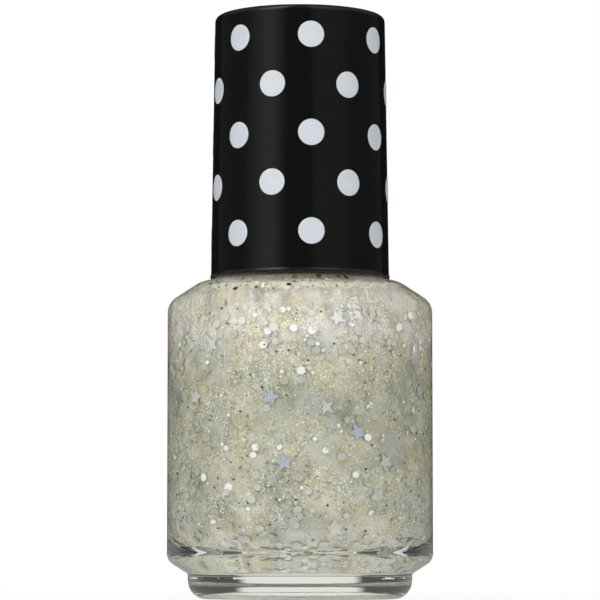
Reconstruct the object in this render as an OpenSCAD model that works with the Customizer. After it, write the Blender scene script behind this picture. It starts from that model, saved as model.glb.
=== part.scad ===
// Round glass nail polish bottle with a tall polka dot screw cap that carries the brush.
// Millimetres, +Z up. The origin is the centre of the base, on the surface it stands on.
// The photographed side faces -Y.

/* [Glass body] */
// Outside diameter of the body
body_d = 33; // [30:0.5:38]
// Height of the shoulder's flat top
shoulder_h = 39.4; // [35:0.1:46]
// Fall of the shoulder below the horizontal, in degrees
shoulder_slope = 33.5; // [25:0.5:40]
// Diameter at which the shoulder starts to fall
crest_d = 24.8; // [23:0.1:27]
// Rounding of the bend at the top of the shoulder
crest_round = 2.75; // [1:0.05:3.5]
// Rounding of the body's upper corner
shoulder_round = 2.2; // [1:0.1:3]
// Thickness of the side wall
glass_wall = 3.4; // [2:0.1:3.6]
// Thickness of the roof under the shoulder
roof_t = 1.5; // [1:0.1:3]
// Height of the cavity's floor
floor_h = 5.3; // [4.6:0.1:8]
// Rounding of the cavity's bowl shaped bottom
bowl_round = 6.8; // [5:0.1:10]
// Rounding where the cavity runs up into the neck
throat_round = 1.8; // [0.6:0.1:2.4]

/* [Foot] */
// Diameter of the foot
foot_d = 27.8; // [25:0.1:29]
// Height of the foot's side
foot_h = 3.1; // [2.6:0.1:4.4]
// Rounding of the foot's lower edge
foot_round = 2.3; // [1:0.1:2.6]
// Rounding of the groove above the foot
step_round = 0.5; // [0.2:0.1:0.9]
// Rise of the heel above the horizontal, in degrees
heel_slope = 33; // [24:0.5:40]
// Rounding of the heel's upper corner
heel_round = 1.55; // [0.8:0.05:2.2]
// Diameter of the hollow under the base
push_up_d = 19; // [14:0.5:20]
// Depth of the hollow under the base
push_up_depth = 0.9; // [0.4:0.1:1.5]

/* [Neck] */
// Diameter of the neck at the root of its thread
neck_d = 13.3; // [12.8:0.1:13.8]
// Diameter over the crest of the neck's thread
thread_d = 14.7; // [14.3:0.1:15.2]
// Height of the neck above the shoulder
neck_h = 14.1; // [12.5:0.1:16]
// Diameter of the neck's bore
bore_d = 8.6; // [7.6:0.1:9.4]
// Rise of the thread in one turn: twelve turns to the inch
thread_pitch = 2.1167; // [1.9:0.0001:2.4]
// Turns of thread on the neck
neck_turns = 2; // [1.25:0.25:2.5]
// Turns of thread in the inner cap
cap_turns = 1.5; // [1:0.25:2]
// Width of both threads at the root
thread_root_w = 1.05; // [0.8:0.05:1.15]
// Width of both threads at the crest
thread_crest_w = 0.5; // [0.35:0.05:0.6]
// Distance from the neck's rim to the end of its thread
thread_drop = 1.4; // [1:0.1:2.5]

/* [Overcap] */
// Outside diameter of the overcap at its lower rim
cap_d = 22.25; // [21.8:0.05:24]
// Outside diameter of the overcap at its top
cap_top_d = 21.3; // [20.9:0.05:23]
// Height of the overcap
cap_h = 33.35; // [30:0.05:38]
// Wall of the overcap
cap_wall = 1.1; // [0.8:0.05:1.3]
// Thickness of the overcap's top
cap_top_t = 1.8; // [1.2:0.1:3]
// Rise of the top's gentle crown
crown_rise = 0.2; // [0.05:0.05:0.6]
// Rounding of the top edge
crown_round = 0.7; // [0.3:0.05:1.2]
// Rounding of the lower rim's outer edge
rim_round = 0.45; // [0.1:0.05:0.6]
// Ribs inside the overcap that grip the inner cap
rib_count = 12; // [6:1:18]
// Height of a rib from the wall, at the inner cap's top
rib_h = 0.8; // [0.4:0.05:1]
// Width of a rib
rib_w = 1.0; // [0.6:0.1:1.6]
// How far a rib steps in above the inner cap to stop it
rib_step = 1.5; // [0.8:0.1:2.5]

/* [Printed dots] */
// Diameter of a dot
dot_d = 3.25; // [2:0.05:4]
// Rows of dots
dot_rows = 5; // [3:1:5]
// Dots around each row
dots_per_row = 7; // [5:1:8]
// Height of the lowest row above the overcap's rim
dot_first_h = 5.15; // [4:0.05:6]
// Distance between rows
dot_row_pitch = 6.06; // [5:0.02:6.4]
// Turn of the pattern from the front, in degrees
dot_turn = 7.3; // [0:0.1:51]
// Thickness of the ink
ink_t = 0.04; // [0.02:0.01:0.1]

/* [Inner cap and seal] */
// How far the inner cap's skirt stops short of the overcap's rim
skirt_inset = 0.8; // [0.4:0.1:2]
// Thickness of the inner cap's top
inner_top_t = 1.4; // [1:0.1:2]
// Outside diameter of the socket that holds the stem
socket_d = 9; // [8:0.1:11]
// Height of the socket above the inner cap's top
socket_h = 4.6; // [3:0.1:7]
// Thickness of the sealing washer
washer_t = 1.0; // [0.6:0.1:1.6]

/* [Brush] */
// Thickness of the stem's flange
flange_t = 1.2; // [0.8:0.1:2]
// Diameter of the plug that is pressed into the socket
plug_d = 6; // [5:0.1:6.6]
// Length of the plug above the flange
plug_h = 5.4; // [4:0.1:6]
// Diameter of the stem under its flange
stem_d = 4.4; // [3.8:0.1:5]
// Diameter of the stem at its end
stem_tip_d = 3.8; // [3.5:0.1:4.2]
// Diameter of the hole that holds the tuft
tuft_hole_d = 2.9; // [2.6:0.1:3]
// Depth of the hole that holds the tuft
tuft_hole_depth = 4.5; // [3.5:0.1:6]
// Free length of the bristles
tuft_h = 15; // [12:0.5:17]
// Height of the bristle tips above the cavity's floor
tuft_lift = 1.8; // [1.2:0.1:4]
// Number of bristles
bristle_count = 320; // [300:5:400]
// Width of a bristle, corner to corner
bristle_d = 0.1; // [0.06:0.01:0.1]
// How much wider the tuft is at its tip than at its root
tuft_spread = 1.3; // [1:0.05:1.5]
// How much shorter the outer bristles are than the middle ones
tuft_crown = 1.8; // [0:0.1:3]
// Width of the wire anchor that pins the tuft
anchor_w = 2.7; // [2.2:0.1:2.8]
// Height of the wire anchor
anchor_h = 1.2; // [0.8:0.1:1.8]
// Thickness of the wire anchor
anchor_t = 0.35; // [0.2:0.05:0.6]

/* [Polish] */
// Height of the polish above the shoulder's flat top
fill_over = 1.0; // [0.2:0.1:4]
// Diameter of a mixing ball
ball_d = 4; // [3:0.1:4.8]
// Distance of each mixing ball from the axis
ball_offset = 4.9; // [4.8:0.1:6]
// Direction of the first mixing ball, in degrees
ball_turn = 35; // [0:5:355]

/* [Clearances] */
// Gap between the overcap's rim and the glass
rim_gap = 0.25; // [0.2:0.05:0.6]
// Gap between the two threads, across and along
thread_gap = 0.22; // [0.2:0.01:0.3]
// Gap at a press fit
press_gap = 0.02; // [0.01:0.01:0.05]
// Gap at a seat that only closes
seat_gap = 0.02; // [0.01:0.01:0.05]
// Gap between the stem and what it turns in
turn_gap = 0.1; // [0.05:0.05:0.3]
// Gap between the polish and what it wets
wet_gap = 0.05; // [0.02:0.01:0.1]
// Room around the brush in the polish
well_gap = 0.3; // [0.2:0.05:0.6]

/* [Hidden] */

// Facets of the preview's round shapes, straight steps in a rounded corner, and thread steps in one turn
$fn = 96;
arc_steps = 8;
turn_steps = 30;
// Turn over which a thread fades in and out, and how deep it is rooted in its wall
thread_fade = 40;
thread_root = 0.3;
// Golden angle, which spreads the bristles evenly
golden_turn = 137.508;
// How deep a rib or a bristle is rooted in its backing
rooting = 0.4;
// Share of an edge that its two roundings may use up between them
edge_use = 0.98;
// Least width of the cavity's falling shoulder
least_fall_w = 0.5;

body_r = body_d / 2;
foot_r = foot_d / 2;
crest_r = crest_d / 2;
neck_r = neck_d / 2;
bore_r = bore_d / 2;
thread_r = thread_d / 2;
cavity_r = body_r - glass_wall;
heel_z = foot_h + (body_r - foot_r) * tan(heel_slope);
rim_z = shoulder_h + neck_h;
roof_z = shoulder_h - roof_t;
fill_z = shoulder_h + fill_over;
neck_thread_z = rim_z - thread_drop - neck_turns * thread_pitch;

washer_z = rim_z + seat_gap;
flange_z = washer_z + washer_t + seat_gap;
inner_ceiling_z = flange_z + flange_t + press_gap;
inner_top_z = inner_ceiling_z + inner_top_t;
washer_r = thread_r;
flange_r = thread_r - press_gap;
thread_bore_r = thread_r + thread_gap;

cap_z = shoulder_h + rim_gap;
cap_top_z = cap_z + cap_h;
cap_ceiling_z = cap_top_z - cap_top_t;
skirt_z = cap_z + skirt_inset;

// Radius of the overcap at a height, outside and in its bore, which follows the same taper
function cap_r(z) = (cap_d + (cap_top_d - cap_d) * (z - cap_z) / cap_h) / 2;
function cap_bore_r(z) = cap_r(z) - cap_wall;

inner_cap_r = cap_bore_r(inner_top_z) - rib_h - press_gap;

tuft_tip_z = floor_h + tuft_lift;
stem_end_z = tuft_tip_z + tuft_h;
tuft_hole_r = tuft_hole_d / 2;
tuft_hole_top = stem_end_z + tuft_hole_depth;
tuft_root_r = tuft_hole_r - press_gap;
tuft_pack_r = tuft_root_r - bristle_d;
well_r = max(stem_d / 2, tuft_pack_r * tuft_spread + bristle_d) + well_gap;
anchor_z = tuft_hole_top - press_gap - anchor_h;

// Outlines with rounded corners. A corner is [radius from the axis, height, rounding].

function place(corner) = [corner.x, corner.y];

function unit(v) = v / norm(v);

function half_angle(before, at, after) =
    acos(max(-1, min(1, unit(before - at) * unit(after - at)))) / 2;

// Length of edge that a corner's rounding uses up, before its neighbours are looked at
function wanted_reach(corners, i) =
    let (n = len(corners))
    corners[i].z == 0 ? 0
    : corners[i].z / tan(half_angle(
        place(corners[(i + n - 1) % n]), place(corners[i]), place(corners[(i + 1) % n])));

// How far the roundings at an edge's two ends must shrink to fit its length
function edge_share(corners, i, j) =
    let (sum = wanted_reach(corners, i) + wanted_reach(corners, j))
    sum == 0 ? 1 : min(1, edge_use * norm(place(corners[i]) - place(corners[j])) / sum);

function turn_between(from, to) = to - from - 360 * floor((to - from + 180) / 360);

function corner_points(corners, i) =
    let (
        n = len(corners),
        before = (i + n - 1) % n,
        after = (i + 1) % n,
        at = place(corners[i])
    )
    corners[i].z == 0 ? [at]
    : let (
        to_before = unit(place(corners[before]) - at),
        to_after = unit(place(corners[after]) - at),
        half = half_angle(place(corners[before]), at, place(corners[after])),
        share = min(edge_share(corners, before, i), edge_share(corners, i, after)),
        reach = wanted_reach(corners, i) * share,
        radius = reach * tan(half),
        centre = at + unit(to_before + to_after) * radius / sin(half),
        start = at + to_before * reach - centre,
        end = at + to_after * reach - centre,
        start_angle = atan2(start.y, start.x),
        turn = turn_between(start_angle, atan2(end.y, end.x))
    )
    [for (k = [0:arc_steps])
        let (angle = start_angle + turn * k / arc_steps)
        centre + radius * [cos(angle), sin(angle)]];

function rounded(corners) = [for (i = [0:len(corners) - 1]) each corner_points(corners, i)];

module turned(corners) {
    rotate_extrude() polygon(rounded(corners));
}

// Height of the shoulder's fall at a distance from the axis, for the outside and for the cavity
function shoulder_z(r) = shoulder_h - (r - crest_r) * tan(shoulder_slope);
function cavity_shoulder_z(r) = shoulder_z(r) - roof_t / cos(shoulder_slope);

// Where the cavity's roof meets its falling shoulder, held between the throat and the wall
roof_r = max(bore_r + throat_round, min(cavity_r - least_fall_w,
    crest_r - roof_t * (1 / cos(shoulder_slope) - 1) / tan(shoulder_slope)));

// The cavity from its rim down to its floor, drawn in on all sides by a gap
function cavity_corners(gap) = [
    [bore_r - gap, roof_z - gap, throat_round],
    [roof_r, roof_z - gap, crest_round],
    [cavity_r - gap, cavity_shoulder_z(cavity_r) - gap, shoulder_round],
    [cavity_r - gap, floor_h + gap, bowl_round - gap],
    [0, floor_h + gap, 0]
];

// A thread: a ridge with sloping flanks, wound up a wall and faded out at both ends.
// side is 1 for a ridge that stands out from a shaft and -1 for one that stands into a bore.
module thread(wall_r, ridge_r, start_z, turns, side) {
    steps = round(turns * turn_steps);
    fade_steps = max(1, round(thread_fade / 360 * turn_steps));
    inner = wall_r - side * thread_root;
    hidden = wall_r - side * thread_root / 2;
    points = [for (i = [0:steps])
        let (
            angle = 360 * i / turn_steps,
            z = start_z + thread_pitch * i / turn_steps,
            grown = min(1, min(i, steps - i) / fade_steps),
            crest = hidden + (ridge_r - hidden) * grown
        )
        each [for (p = [
                [inner, -thread_root_w / 2], [crest, -thread_crest_w / 2],
                [crest, thread_crest_w / 2], [inner, thread_root_w / 2]
            ]) [p.x * cos(angle), p.x * sin(angle), z + p.y]]];
    walls = [for (i = [0:steps - 1], k = [0:3])
        let (a = 4 * i + k, b = 4 * i + (k + 1) % 4)
        each [[a, b, a + 4], [b, b + 4, a + 4]]];
    last = 4 * steps;
    ends = [[0, 2, 1], [0, 3, 2], [last, last + 1, last + 2], [last, last + 2, last + 3]];
    polyhedron(points, [for (f = concat(walls, ends)) side > 0 ? f : [f.x, f.z, f.y]]);
}

module glass_bottle() {
    outside = [
        [0, push_up_depth, 0],
        [push_up_d / 2 - push_up_depth, push_up_depth, push_up_depth],
        [push_up_d / 2, 0, push_up_depth / 2],
        [foot_r, 0, foot_round],
        [foot_r, foot_h, step_round],
        [body_r, heel_z, heel_round],
        [body_r, shoulder_z(body_r), shoulder_round],
        [crest_r, shoulder_h, crest_round],
        [neck_r, shoulder_h, step_round],
        [neck_r, rim_z, step_round],
        [bore_r, rim_z, step_round]
    ];
    color("ghostwhite", 0.4) {
        turned(concat(outside, cavity_corners(0)));
        thread(neck_r, thread_r, neck_thread_z, neck_turns, 1);
    }
}

module mixing_ball_at(angle, grow) {
    rotate([0, 0, angle])
        translate([ball_offset, 0, floor_h + 2 * wet_gap + ball_d / 2])
            sphere(d = ball_d + 2 * grow);
}

module polish() {
    color("palegoldenrod")
    difference() {
        turned(concat([[0, fill_z, 0], [bore_r - wet_gap, fill_z, 0]], cavity_corners(wet_gap)));
        translate([0, 0, tuft_tip_z - well_gap])
            cylinder(r = well_r, h = fill_z);
        mixing_ball_at(ball_turn, wet_gap);
        mixing_ball_at(ball_turn + 180, wet_gap);
    }
}

module mixing_ball_1() {
    color("silver") mixing_ball_at(ball_turn, 0);
}

module mixing_ball_2() {
    color("silver") mixing_ball_at(ball_turn + 180, 0);
}

module sealing_washer() {
    color("white")
    translate([0, 0, washer_z])
    difference() {
        cylinder(r = washer_r, h = washer_t);
        translate([0, 0, -washer_t]) cylinder(r = stem_d / 2 + turn_gap, h = 3 * washer_t);
    }
}

// A rib grips the inner cap's side and steps in above it to stop its top
module overcap_rib() {
    grip_r = inner_cap_r + press_gap;
    grip_z = skirt_z + skirt_inset;
    stop_r = inner_cap_r - rib_step;
    stop_z = inner_top_z + seat_gap;
    top_z = cap_ceiling_z + rooting;
    rotate([90, 0, 0])
        linear_extrude(rib_w, center = true)
            polygon([
                [grip_r, grip_z],
                [cap_bore_r(grip_z) + rooting, grip_z],
                [cap_bore_r(top_z) + rooting, top_z],
                [stop_r, top_z],
                [stop_r, stop_z],
                [grip_r, stop_z]
            ]);
}

module overcap() {
    crown_steps = 4;
    crown = [for (k = [1:crown_steps])
        let (share = 1 - k / crown_steps)
        [cap_top_d / 2 * share, cap_top_z - crown_rise * share * share, 0]];
    shell = concat(
        [[cap_bore_r(cap_z), cap_z, 0], [cap_d / 2, cap_z, rim_round],
            [cap_top_d / 2, cap_top_z - crown_rise, crown_round]],
        crown,
        [[0, cap_ceiling_z, 0], [cap_bore_r(cap_ceiling_z), cap_ceiling_z, crown_round]]
    );
    color([0.05, 0.05, 0.06]) {
        turned(shell);
        for (i = [0:rib_count - 1])
            rotate([0, 0, 360 * i / rib_count]) overcap_rib();
    }
}

module dot(row, column) {
    z = cap_z + dot_first_h + row * dot_row_pitch;
    lift = press_gap / 2;
    half = dot_d / 2 + rooting;
    odd_turn = (row % 2) * 180 / dots_per_row;
    band = [[-half, lift], [half, lift], [half, lift + ink_t], [-half, lift + ink_t]];
    translate([0, 0, z])
        intersection() {
            rotate_extrude() polygon([for (p = band) [cap_r(z + p.x) + p.y, p.x]]);
            rotate([90, 0, dot_turn + odd_turn + 360 * column / dots_per_row])
                cylinder(d = dot_d, h = cap_d);
        }
}

module dot_print() {
    color("whitesmoke")
    for (row = [0:dot_rows - 1], column = [0:dots_per_row - 1])
        dot(row, column);
}

module inner_cap() {
    shell = [
        [thread_bore_r, skirt_z, step_round],
        [inner_cap_r, skirt_z, step_round],
        [inner_cap_r, inner_top_z, step_round],
        [socket_d / 2, inner_top_z, step_round],
        [socket_d / 2, inner_top_z + socket_h, step_round],
        [plug_d / 2 + press_gap, inner_top_z + socket_h, 0],
        [plug_d / 2 + press_gap, inner_ceiling_z, 0],
        [thread_bore_r, inner_ceiling_z, 0]
    ];
    ridge_r = neck_r + thread_gap;
    ridge_z = neck_thread_z - (thread_root_w + thread_crest_w) / 2 - thread_gap;
    color([0.1, 0.1, 0.11]) {
        turned(shell);
        thread(thread_bore_r, ridge_r, ridge_z, cap_turns, -1);
    }
}

module brush_stem() {
    stem = [
        [0, flange_z + flange_t + plug_h, 0],
        [plug_d / 2, flange_z + flange_t + plug_h, step_round],
        [plug_d / 2, flange_z + flange_t, 0],
        [flange_r, flange_z + flange_t, 0],
        [flange_r, flange_z, 0],
        [stem_d / 2, flange_z, 0],
        [stem_tip_d / 2, stem_end_z, step_round / 2],
        [tuft_hole_r, stem_end_z, 0],
        [tuft_hole_r, tuft_hole_top, 0],
        [0, tuft_hole_top, 0]
    ];
    color([0.12, 0.12, 0.13]) turned(stem);
}

module anchor_plate(grow) {
    translate([-anchor_w / 2 - grow, -anchor_t / 2 - grow, anchor_z - grow])
        cube([anchor_w + 2 * grow, anchor_t + 2 * grow, anchor_h + 2 * grow]);
}

module tuft_anchor() {
    color("goldenrod") anchor_plate(0);
}

// All bristles as one set of three sided strands that lean out evenly, so that none cross
module bristles() {
    sides = 3;
    root_z = stem_end_z + rooting;
    points = [for (i = [0:bristle_count - 1])
        let (
            share = sqrt((i + 0.5) / bristle_count),
            turn = i * golden_turn,
            tip_z = tuft_tip_z + tuft_crown * share * share
        )
        each [for (end = [0, 1], k = [0:sides - 1])
            let (
                r = tuft_pack_r * share * (end == 0 ? 1 : tuft_spread),
                corner = turn + 360 * k / sides
            )
            [r * cos(turn) + bristle_d / 2 * cos(corner),
                r * sin(turn) + bristle_d / 2 * sin(corner),
                end == 0 ? root_z : tip_z]]];
    faces = [for (i = [0:bristle_count - 1])
        let (f = 2 * sides * i)
        each concat(
            [[f, f + 2, f + 1], [f + 3, f + 4, f + 5]],
            [for (k = [0:sides - 1])
                let (a = f + k, b = f + (k + 1) % sides)
                each [[a, b, a + sides], [b, b + sides, a + sides]]]
        )];
    polyhedron(points, faces);
}

module bristle_tuft() {
    color("dimgray") {
        difference() {
            translate([0, 0, stem_end_z + press_gap])
                cylinder(r = tuft_root_r, h = tuft_hole_depth - 2 * press_gap);
            anchor_plate(press_gap);
        }
        bristles();
    }
}

glass_bottle();
polish();
mixing_ball_1();
mixing_ball_2();
sealing_washer();
overcap();
dot_print();
inner_cap();
brush_stem();
tuft_anchor();
bristle_tuft();
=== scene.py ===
# Nail polish bottle: a round glass bottle of glitter polish under a tall dotted screw cap
# that carries the brush. Sizes and heights are in millimetres, angles in degrees.
import math
import random

import bpy
from mathutils import Matrix, Vector


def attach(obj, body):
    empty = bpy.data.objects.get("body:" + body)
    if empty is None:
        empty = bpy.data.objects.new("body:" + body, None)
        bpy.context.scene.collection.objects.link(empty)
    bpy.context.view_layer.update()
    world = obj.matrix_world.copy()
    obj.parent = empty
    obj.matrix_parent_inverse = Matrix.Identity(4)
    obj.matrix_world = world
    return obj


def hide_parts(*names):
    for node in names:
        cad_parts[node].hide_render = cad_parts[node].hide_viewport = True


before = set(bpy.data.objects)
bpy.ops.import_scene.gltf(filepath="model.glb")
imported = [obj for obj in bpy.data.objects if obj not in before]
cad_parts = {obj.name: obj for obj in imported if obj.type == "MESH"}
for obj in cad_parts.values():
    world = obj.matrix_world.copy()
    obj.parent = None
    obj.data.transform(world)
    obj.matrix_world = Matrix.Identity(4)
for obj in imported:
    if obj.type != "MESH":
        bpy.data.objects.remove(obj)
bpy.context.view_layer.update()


# Glass bottle.
# Clear glass, blown in a two-part mould with a thick base, a round foot and a threaded neck.
# It stands on the ring round the shallow hollow under the foot, and everything else hangs on it.
MM = 0.001
BODY_R, FOOT_R, CAVITY_R = 16.5, 13.9, 13.1
SHOULDER_H, SHOULDER_FALL, CREST_R = 39.4, 33.5, 12.4
FOOT_H, HEEL_RISE = 3.1, 33.0
PUSH_UP_R, PUSH_UP_H = 9.5, 0.9
NECK_R, BORE_R, RIM_H = 6.65, 4.3, 53.5
CAVITY_FLOOR, ROOF_T, BOWL_ROUND = 5.3, 1.5, 6.8
FILL_H = 40.4
THREAD_R, THREAD_H, THREAD_PITCH, THREAD_TURNS = 7.35, 47.867, 2.1167, 2
THREAD_ROOT, THREAD_CREST, THREAD_FADE = 0.5, 0.2, 40.0
THROAT_ROUND, ROOF_ROUND, CORNER_ROUND = 1.8, 1.85, 1.48
NECK_ROWS, NEAR = 150, 0.01
GLASS_IOR, LACQUER_IOR, MIRROR_TOP_H = 1.5, 1.42, 6.6
CHILL_LOW_H, CHILL_TOP_H, CHILL_SHARE = 3.0, 5.5, 0.5
RIPPLE_DEPTH = 0.3


def outline(corners, closed=False, arc_step=7.0, margin=0.12):
    """Points (radius, height) along corners (radius, height, rounding, rows on the next side).
    Each long side also gets a point near both its ends, so that smooth shading stays flat there."""
    bends = []
    for i, (r, z, rounding, *_) in enumerate(corners):
        here = Vector((r, z))
        if not rounding:
            bends.append([here])
            continue
        to_last = (Vector(corners[i - 1][:2]) - here).normalized()
        to_next = (Vector(corners[(i + 1) % len(corners)][:2]) - here).normalized()
        half = to_last.angle(to_next) / 2
        reach = rounding / math.tan(half)
        centre = here + (to_last + to_next).normalized() * rounding / math.sin(half)
        start = here + to_last * reach - centre
        end = here + to_next * reach - centre
        turn = math.atan2(start.cross(end), start.dot(end))
        steps = max(4, round(abs(math.degrees(turn)) / arc_step))
        bends.append([
            centre + Matrix.Rotation(turn * k / steps, 2) @ start for k in range(steps + 1)])
    points = []
    for i, bend in enumerate(bends):
        points += bend
        if i + 1 == len(bends) and not closed:
            break
        side = bends[(i + 1) % len(bends)][0] - bend[-1]
        rows = corners[i][3] if len(corners[i]) > 3 else 0
        if side.length > 4 * margin:
            shares = [margin / side.length, 1 - margin / side.length]
            shares[1:1] = [k / rows for k in range(1, rows)]
            points += [bend[-1] + side * share for share in shares]
    return points


def new_piece(name, verts, faces):
    """A smooth shaded mesh object made of points in millimetres."""
    mesh = bpy.data.meshes.new(name)
    mesh.from_pydata([Vector(v) * MM for v in verts], [], faces)
    mesh.shade_smooth()
    piece = bpy.data.objects.new(name, mesh)
    bpy.context.collection.objects.link(piece)
    return piece


def turned(points, closed=False, segments=256, swell=None):
    """Points and faces of an outline turned round the upright axis. swell(degrees, radius, height)
    gives what is added to the radius."""
    verts, rings, faces = [], [], []
    for r, z in points:
        if r < 1e-6:
            rings.append([len(verts)] * segments)
            verts.append((0, 0, z))
            continue
        rings.append(list(range(len(verts), len(verts) + segments)))
        for k in range(segments):
            angle = 2 * math.pi * k / segments
            reach = r + (swell(360 * k / segments, r, z) if swell else 0)
            verts.append((reach * math.cos(angle), reach * math.sin(angle), z))
    for low, high in zip(rings, rings[1:] + (rings[:1] if closed else [])):
        for k in range(segments):
            j = (k + 1) % segments
            face = (low[k], low[j], high[j], high[k])
            faces.append(tuple(dict.fromkeys(face)))
    return verts, faces


def thread_share(angle, z, start_h, turns):
    """How much of a moulded thread's height stands at a place, from 0 to 1."""
    share = 0
    for turn in range(math.ceil(turns)):
        wound = angle + 360 * turn
        faded = max(0, min(1, wound / THREAD_FADE, (360 * turns - wound) / THREAD_FADE))
        off = abs(z - start_h - THREAD_PITCH * wound / 360)
        flank = max(0, min(1, (THREAD_ROOT - off) / (THREAD_ROOT - THREAD_CREST)))
        share = max(share, faded * flank * flank * (3 - 2 * flank))
    return share


def neck_thread(angle, r, z):
    """How far the thread stands out of the neck at a place on it."""
    if abs(r - NECK_R) > NEAR:
        return 0
    return (THREAD_R - NECK_R) * thread_share(angle, z, THREAD_H, THREAD_TURNS)


def cavity_corners(gap):
    """The cavity from the neck's bore down to its floor, drawn in on all sides by a gap."""
    fall = math.radians(SHOULDER_FALL)
    deep = ROOF_T + gap
    roof_r = CREST_R - deep * (1 / math.cos(fall) - 1) / math.tan(fall)
    corner_h = SHOULDER_H - (CAVITY_R - gap - CREST_R) * math.tan(fall) - deep / math.cos(fall)
    return [
        (BORE_R - gap, SHOULDER_H - deep, THROAT_ROUND + gap),
        (roof_r, SHOULDER_H - deep, ROOF_ROUND - gap),
        (CAVITY_R - gap, corner_h, CORNER_ROUND - gap),
        (CAVITY_R - gap, CAVITY_FLOOR + gap, BOWL_ROUND - gap),
        (0, CAVITY_FLOOR + gap, 0),
    ]


heel_h = FOOT_H + (BODY_R - FOOT_R) * math.tan(math.radians(HEEL_RISE))
shoulder_corner_h = SHOULDER_H - (BODY_R - CREST_R) * math.tan(math.radians(SHOULDER_FALL))
glass_outside = outline([
    (0, PUSH_UP_H, 0),
    (PUSH_UP_R - PUSH_UP_H, PUSH_UP_H, 0.9),
    (PUSH_UP_R, 0, 0.45),
    (FOOT_R, 0, 2.3),
    (FOOT_R, FOOT_H, 0.5),
    (BODY_R, heel_h, 1.55),
    (BODY_R, shoulder_corner_h, 2.2),
    (CREST_R, SHOULDER_H, 2.75),
    (NECK_R, SHOULDER_H, 0.5, NECK_ROWS),
    (NECK_R, RIM_H, 0.5),
    (BORE_R, RIM_H, 0.5),
    (BORE_R, FILL_H, 0),
    *cavity_corners(0),
])
glass_bottle = new_piece("glass_bottle_blown", *turned(glass_outside, swell=neck_thread))


def new_material(name):
    """An empty node material."""
    made = bpy.data.materials.new(name)
    made.use_nodes = True
    made.node_tree.nodes.clear()
    return made


def put(tree, kind, sockets=None, **settings):
    """Adds a node. sockets are numbers, colours, or other nodes' outputs to link from."""
    node = tree.nodes.new("ShaderNode" + kind)
    for key, value in settings.items():
        setattr(node, key, value)
    for key, value in (sockets or {}).items():
        if isinstance(value, bpy.types.NodeSocket):
            tree.links.new(value, node.inputs[key])
        elif isinstance(value, bpy.types.Node):
            tree.links.new(value.outputs[0], node.inputs[key])
        else:
            node.inputs[key].default_value = value
    return node


def let_light_in(tree, glass):
    """Finishes a glass that the lamps and soft light pass straight through."""
    path = put(tree, "LightPath")
    through = put(tree, "BsdfTransparent")
    lit = put(tree, "MixShader", {0: path.outputs["Is Shadow Ray"], 1: glass, 2: through})
    lit = put(tree, "MixShader", {0: path.outputs["Is Diffuse Ray"], 1: lit, 2: through})
    put(tree, "OutputMaterial", {"Surface": lit})


# Gentle ripples all over, and fine chill marks near the foot, where hot glass met the mould.
clear_glass = new_material("clear_glass")
tree = clear_glass.node_tree
place = put(tree, "TexCoord")
ripple = put(tree, "TexNoise", {"Vector": place.outputs["Object"], "Scale": 130.0, "Detail": 1.5})
up = put(tree, "SeparateXYZ", {0: place.outputs["Object"]})
chill = put(tree, "TexNoise", {"Vector": place.outputs["Object"], "Scale": 420.0, "Detail": 2.0})
chilled = put(tree, "MapRange", {
    "Value": up.outputs["Z"], "From Min": CHILL_LOW_H * MM, "From Max": CHILL_TOP_H * MM,
    "To Min": CHILL_SHARE, "To Max": 0.0})
uneven = put(tree, "Math", {
    0: chill.outputs[0], 1: chilled, 2: ripple.outputs[0]}, operation="MULTIPLY_ADD")
ripple_bump = put(tree, "Bump", {
    "Strength": 0.12, "Distance": RIPPLE_DEPTH * MM, "Height": uneven})
let_light_in(tree, put(tree, "BsdfPrincipled", {
    "Base Color": (0.985, 0.99, 0.975, 1), "Roughness": 0.0, "IOR": GLASS_IOR,
    "Transmission Weight": 1.0, "Normal": ripple_bump}))

# Faces that the polish wets. Glass and lacquer bend light almost alike, so these vanish, except on
# the bottom of the cavity's bowl, where the small step between them mirrors at a flat angle.
wetted_glass = new_material("wetted_glass")
tree = wetted_glass.node_tree
put(tree, "OutputMaterial", {"Surface": put(tree, "BsdfTransparent")})

bowl_glass = new_material("bowl_glass")
tree = bowl_glass.node_tree
let_light_in(tree, put(tree, "BsdfPrincipled", {
    "Base Color": (1, 1, 1, 1), "Roughness": 0.0, "IOR": GLASS_IOR / LACQUER_IOR,
    "Transmission Weight": 1.0}))

for finish in (clear_glass, wetted_glass, bowl_glass):
    glass_bottle.data.materials.append(finish)
for face in glass_bottle.data.polygons:
    inside = math.hypot(face.center.x, face.center.y) < (CAVITY_R + NEAR) * MM
    from_floor = CAVITY_FLOOR - NEAR < face.center.z / MM < FILL_H
    inward = face.normal.x * face.center.x + face.normal.y * face.center.y < 1e-7
    if inside and from_floor and inward:
        face.material_index = 1 if face.center.z / MM > MIRROR_TOP_H else 2
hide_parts("glass_bottle")
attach(glass_bottle, "bottle")


# Mixing balls.
# Two small steel balls that rattle in the polish when the bottle is shaken. They lie loose on the
# cavity's floor, sunk in the polish.
ball_steel = new_material("ball_steel")
tree = ball_steel.node_tree
place = put(tree, "TexCoord")
tumbled = put(tree, "TexNoise", {"Vector": place.outputs["Object"], "Scale": 2600.0, "Detail": 4.0})
dulled = put(tree, "MapRange", {"Value": tumbled.outputs[0], "To Min": 0.12, "To Max": 0.32})
put(tree, "OutputMaterial", {"Surface": put(tree, "BsdfPrincipled", {
    "Base Color": (0.70, 0.70, 0.71, 1), "Metallic": 1.0, "Roughness": dulled})})
for name in ("mixing_ball_1", "mixing_ball_2"):
    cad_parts[name].data.materials.clear()
    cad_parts[name].data.materials.append(ball_steel)


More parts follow.
